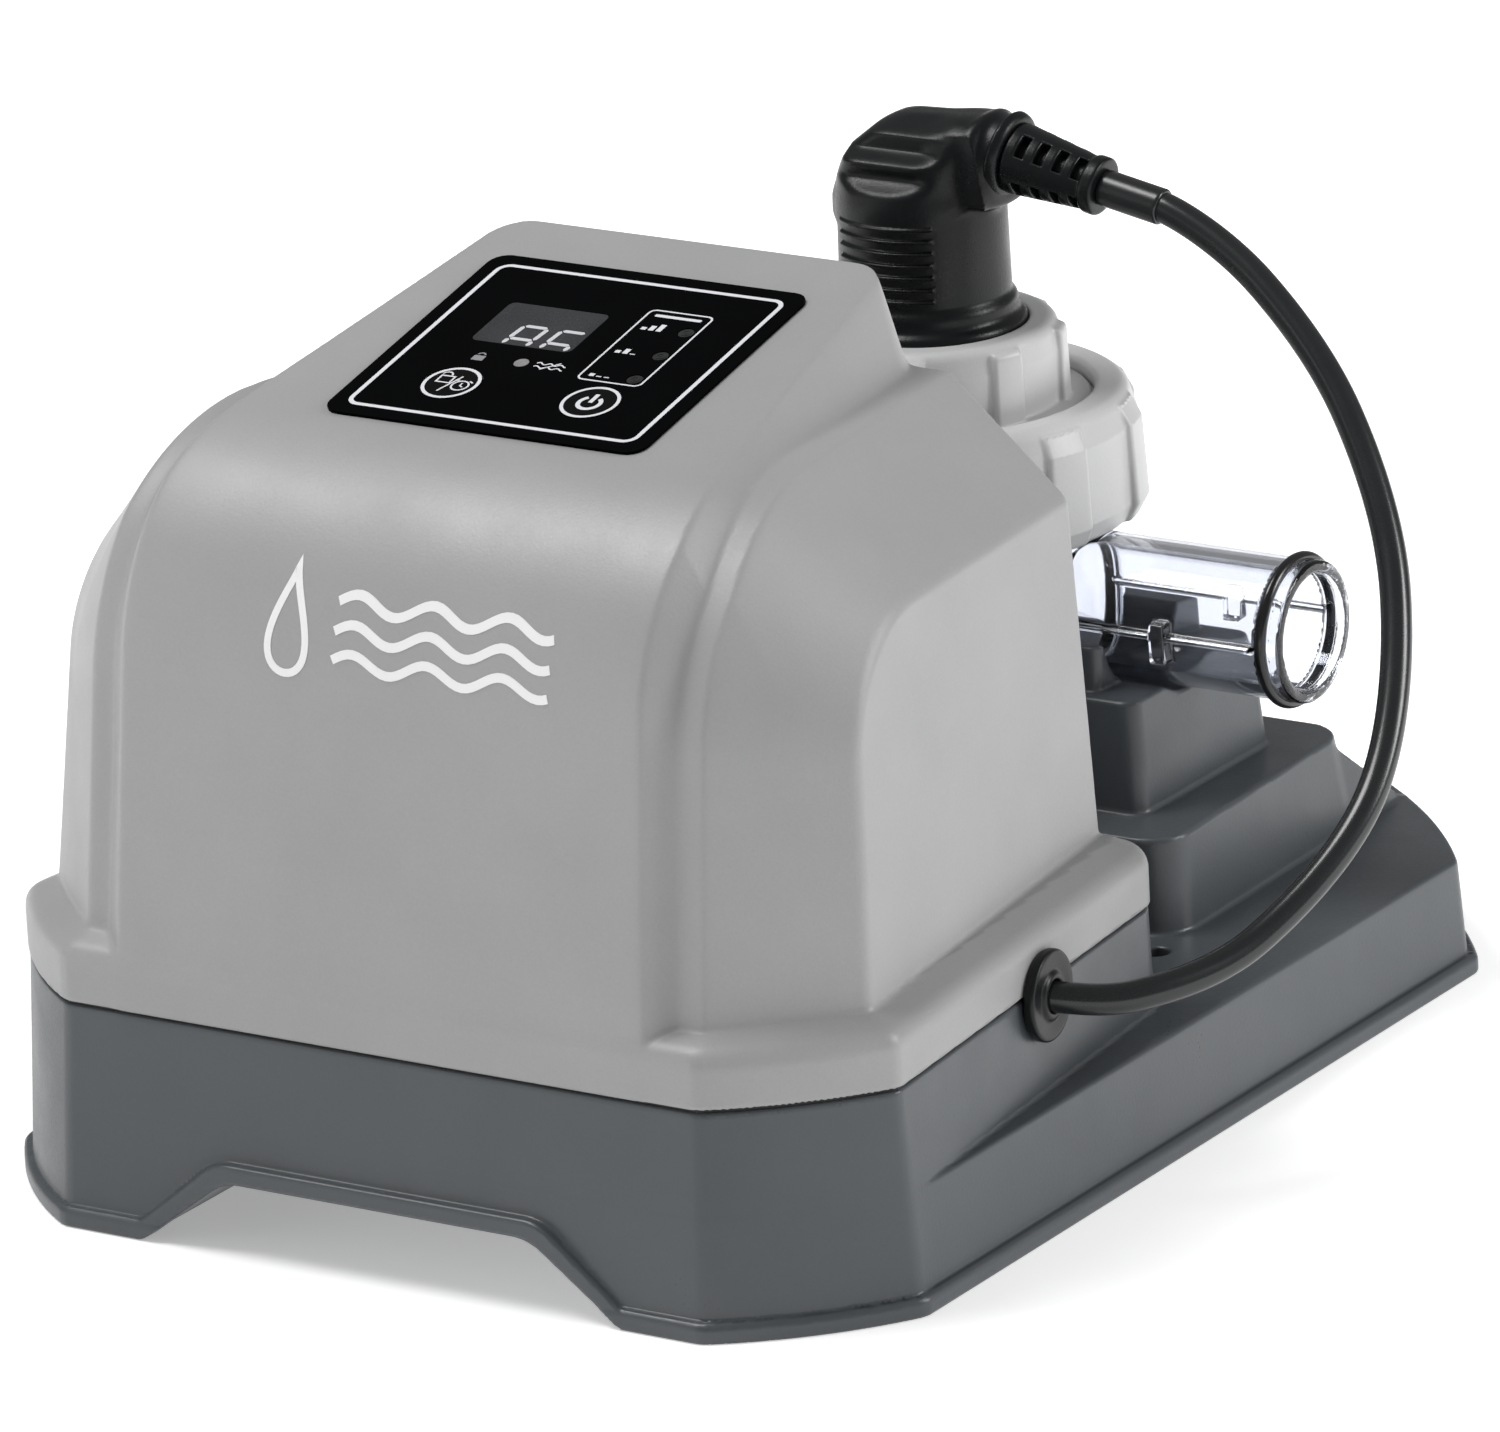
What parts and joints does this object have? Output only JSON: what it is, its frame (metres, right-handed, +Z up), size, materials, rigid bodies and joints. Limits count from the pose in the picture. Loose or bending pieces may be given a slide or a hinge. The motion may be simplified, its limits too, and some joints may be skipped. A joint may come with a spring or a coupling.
{
  "type": "salt chlorine generator",
  "caption": "Floor-standing salt chlorine generator for a small pool: control housing on a base, clear flow cell with a screwed electrode head and an angled plug.",
  "frame": {"origin": "centre of the base's footprint, on the floor plane; the cell cable, which loops out past the right side, is not counted", "axes": "+X to the right seen from the front, +Y to the back, towards the flow cell, +Z up; the control panel faces -Y and up"},
  "size_m": [0.3151, 0.38, 0.2368],
  "materials": {
    "base": "moulded, satin, slate grey",
    "base_plate": "moulded",
    "rubber_feet": "soft rubber",
    "plate_screws": "zinc plated",
    "cover_gasket": "foam strip",
    "cover": "moulded, fine texture, light grey",
    "cover_screws": "zinc plated",
    "panel_overlay": "glossy membrane",
    "display_window": "smoked",
    "display_digits": "display block",
    "status_leds": "frosted lens",
    "timer_key": "glossy membrane",
    "power_key": "glossy membrane",
    "control_board": "circuit board",
    "key_switches": "moulded",
    "board_screws": "zinc plated",
    "power_supply": "folded sheet box",
    "supply_screws": "zinc plated",
    "mains_gland": "moulded nylon",
    "cell_housing": "clear moulded plastic",
    "port_o_rings": "smooth rubber",
    "cell_collar": "moulded, fine texture",
    "electrode_head": "moulded",
    "head_seal": "smooth rubber",
    "electrode_plates": "coated titanium",
    "electrode_posts": "titanium",
    "plate_combs": "moulded",
    "socket_insert": "moulded",
    "plug_nut": "moulded, fine texture",
    "plug_body": "overmoulded, fine texture",
    "plug_pins": "brass contacts",
    "outlet_ring": "overmoulded",
    "strain_relief": "slotted soft sleeve",
    "cable_sleeve": "smooth sleeve",
    "cell_cable": "round cable jacket",
    "cable_grommet": "smooth disc"
  },
  "bodies": {
    "base_unit": {"base": "base", "base_plate": "base_plate", "rubber_feet": "rubber_feet", "plate_screws": "plate_screws", "cover_gasket": "cover_gasket", "cover": "cover", "cover_screws": "cover_screws", "panel_overlay": "panel_overlay", "display_window": "display_window", "display_digits": "display_digits", "status_leds": "status_leds", "control_board": "control_board", "key_switches": "key_switches", "board_screws": "board_screws", "power_supply": "power_supply", "supply_screws": "supply_screws", "mains_gland": "mains_gland", "cell_housing": "cell_housing", "port_o_rings": "port_o_rings", "cell_cable": "cell_cable", "cable_grommet": "cable_grommet"},
    "electrode": {"electrode_head": "electrode_head", "head_seal": "head_seal", "electrode_plates": "electrode_plates", "electrode_posts": "electrode_posts", "plate_combs": "plate_combs", "socket_insert": "socket_insert"},
    "collar": {"cell_collar": "cell_collar"},
    "plug": {"plug_body": "plug_body", "plug_pins": "plug_pins", "outlet_ring": "outlet_ring", "strain_relief": "strain_relief", "cable_sleeve": "cable_sleeve"},
    "plug_ring": {"plug_nut": "plug_nut"},
    "timer_button": {"timer_key": "timer_key"},
    "power_button": {"power_key": "power_key"}
  },
  "joints": [
    {"name": "electrode_lift", "type": "slide", "parent": "base_unit", "child": "electrode", "axis": [0, 0, 1], "range_m": [0, 0.09]},
    {"name": "collar_turn", "type": "hinge", "parent": "electrode", "child": "collar", "pos_m": [0, 0.088, 0.14], "axis": [0, 0, 1], "continuous": true},
    {"name": "plug_lift", "type": "slide", "parent": "electrode", "child": "plug", "axis": [0, 0, 1], "range_m": [0, 0.04]},
    {"name": "plug_nut_turn", "type": "hinge", "parent": "plug", "child": "plug_ring", "pos_m": [0, 0.088, 0.165], "axis": [0, 0, 1], "continuous": true},
    {"name": "timer_press", "type": "slide", "parent": "base_unit", "child": "timer_button", "axis": [0, 0.2164, -0.9763], "range_m": [0, 0.0004], "stiffness_N_per_m": 900},
    {"name": "power_press", "type": "slide", "parent": "base_unit", "child": "power_button", "axis": [0, 0.2164, -0.9763], "range_m": [0, 0.0004], "stiffness_N_per_m": 900}
  ]
}
